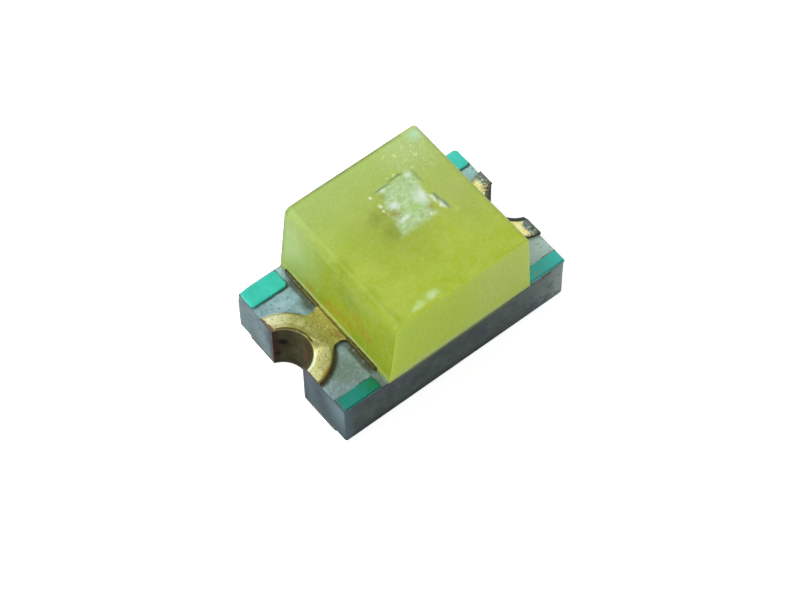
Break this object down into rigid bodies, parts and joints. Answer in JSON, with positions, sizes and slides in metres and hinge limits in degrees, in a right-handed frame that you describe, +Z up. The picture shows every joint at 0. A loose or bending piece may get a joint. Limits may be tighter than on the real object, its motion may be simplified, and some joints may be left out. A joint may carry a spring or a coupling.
{
  "type": "smd led",
  "caption": "Surface-mount chip LED: a phosphor resin block on a laminate board with plated half-hole terminals at its ends.",
  "frame": {"origin": "centre of the package's outline at the underside of the solder lands, where it sits on a circuit board", "axes": "+X along the package from the anode end to the cathode end, +Y across it, +Z up through the top of the resin"},
  "size_m": [0.002, 0.0012, 0.0011],
  "materials": {
    "laminate": "grey resin and glass-fibre laminate, satin on top and matt where it is sawn",
    "gold_plating": "thin pale gold plating over nickel and copper, satin, dull and dark in the half holes",
    "solder_mask": "blue-green printed ink, satin",
    "die_adhesive": "cured adhesive",
    "sapphire_die": "pale polished crystal with a patterned surface",
    "contact_metal": "thin gold film",
    "gold_wire": "drawn gold wire, bright",
    "phosphor_resin": "translucent yellow-green resin full of phosphor, satin"
  },
  "bodies": {
    "root": {"board": "laminate", "anode_terminal": "gold_plating", "cathode_terminal": "gold_plating", "mask_patch_left_front": "solder_mask", "mask_patch_left_back": "solder_mask", "mask_patch_right_front": "solder_mask", "mask_patch_right_back": "solder_mask", "polarity_mark": "solder_mask", "die_attach": "die_adhesive", "led_die": "sapphire_die", "bond_pad_p": "contact_metal", "bond_pad_n": "contact_metal", "bond_wire_p": "gold_wire", "bond_wire_n": "gold_wire", "phosphor_resin": "phosphor_resin"}
  },
  "joints": []
}
